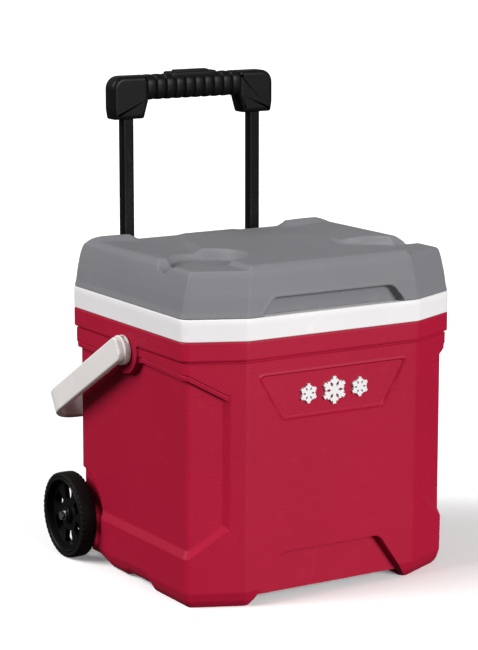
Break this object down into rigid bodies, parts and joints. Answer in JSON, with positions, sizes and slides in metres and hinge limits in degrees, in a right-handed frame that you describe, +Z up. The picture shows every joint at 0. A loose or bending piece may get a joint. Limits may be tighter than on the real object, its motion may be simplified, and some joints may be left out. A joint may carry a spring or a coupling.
{
  "type": "wheeled cooler",
  "caption": "Small hard cooler on wheels with a hinged lid with drink holders, a swinging carry handle and a telescoping tow handle.",
  "frame": {"origin": "on the floor under the middle of the whole object, as it stands with the lid shut and the tow handle pulled out", "axes": "+X to the right as seen from the front, front faces -Y, +Z up"},
  "size_m": [0.394, 0.3472, 0.5665],
  "materials": {
    "red_shell": "matte",
    "white_liner": "satin",
    "lid_grey": "matte",
    "handle_grey": "satin",
    "black_plastic": "matte",
    "black_tube": "satin",
    "tyre_black": "matte",
    "steel": "satin",
    "seal_grey": "matte",
    "foam": "matte"
  },
  "bodies": {
    "body": {"body_shell": "red_shell", "body_liner": "white_liner", "body_foam": "foam", "front_emblem": "white_liner", "tow_housing": "black_plastic", "housing_screws": "steel", "guide_bush_left": "black_plastic", "guide_bush_right": "black_plastic", "hinge_brackets": "black_plastic", "hinge_pins": "steel", "hinge_screws": "steel", "bail_pivot_left": "handle_grey", "bail_pivot_right": "handle_grey", "axle": "steel", "axle_spacers": "black_plastic", "push_nuts": "steel"},
    "lid": {"lid_shell": "lid_grey", "lid_liner": "white_liner", "lid_foam": "foam", "lid_gasket": "seal_grey", "hinge_leaves": "lid_grey", "leaf_screws": "steel"},
    "carry_handle": {"bail_handle": "handle_grey"},
    "tow_handle": {"tow_tube_left": "black_tube", "tow_tube_right": "black_tube", "grip_front": "black_plastic", "grip_rear": "black_plastic", "grip_screws": "steel", "tube_plugs": "black_plastic", "button_spring": "steel"},
    "release_button": {"tow_button": "black_plastic", "link_yoke": "black_plastic", "link_rods": "steel"},
    "lock_left": {"lock_pin_left": "steel"},
    "lock_right": {"lock_pin_right": "steel"},
    "left_wheel": {"wheel_left": "black_plastic", "tyre_left": "tyre_black"},
    "right_wheel": {"wheel_right": "black_plastic", "tyre_right": "tyre_black"}
  },
  "joints": [
    {"name": "lid_hinge", "type": "hinge", "parent": "body", "child": "lid", "pos_m": [0, 0.12644, 0.36], "axis": [-1, 0, 0], "range_deg": [0, 66]},
    {"name": "carry_handle_swing", "type": "hinge", "parent": "body", "child": "carry_handle", "pos_m": [0, -0.01456, 0.271], "axis": [1, 0, 0], "range_deg": [0, 56]},
    {"name": "tow_handle_slide", "type": "slide", "parent": "body", "child": "tow_handle", "axis": [0, 0, 1], "range_m": [-0.188, 0]},
    {"name": "button_press", "type": "slide", "parent": "tow_handle", "child": "release_button", "axis": [0, 0, -1], "range_m": [0, 0.003], "stiffness_N_per_m": 900, "springref_m": -0.003, "deforming": ["button_spring"]},
    {"name": "lock_pin_left_slide", "type": "slide", "parent": "tow_handle", "child": "lock_left", "axis": [1, 0, 0], "range_m": [0, 0.00225]},
    {"name": "lock_pin_right_slide", "type": "slide", "parent": "tow_handle", "child": "lock_right", "axis": [-1, 0, 0], "range_m": [0, 0.00225]},
    {"name": "wheel_left_spin", "type": "hinge", "parent": "body", "child": "left_wheel", "pos_m": [-0.185, 0.11144, 0.051], "axis": [1, 0, 0], "continuous": true},
    {"name": "wheel_right_spin", "type": "hinge", "parent": "body", "child": "right_wheel", "pos_m": [0.185, 0.11144, 0.051], "axis": [1, 0, 0], "continuous": true}
  ],
  "couplings": [
    {"joint": "lock_pin_left_slide", "follows": "button_press", "ratio": 0.75},
    {"joint": "lock_pin_right_slide", "follows": "button_press", "ratio": 0.75}
  ]
}
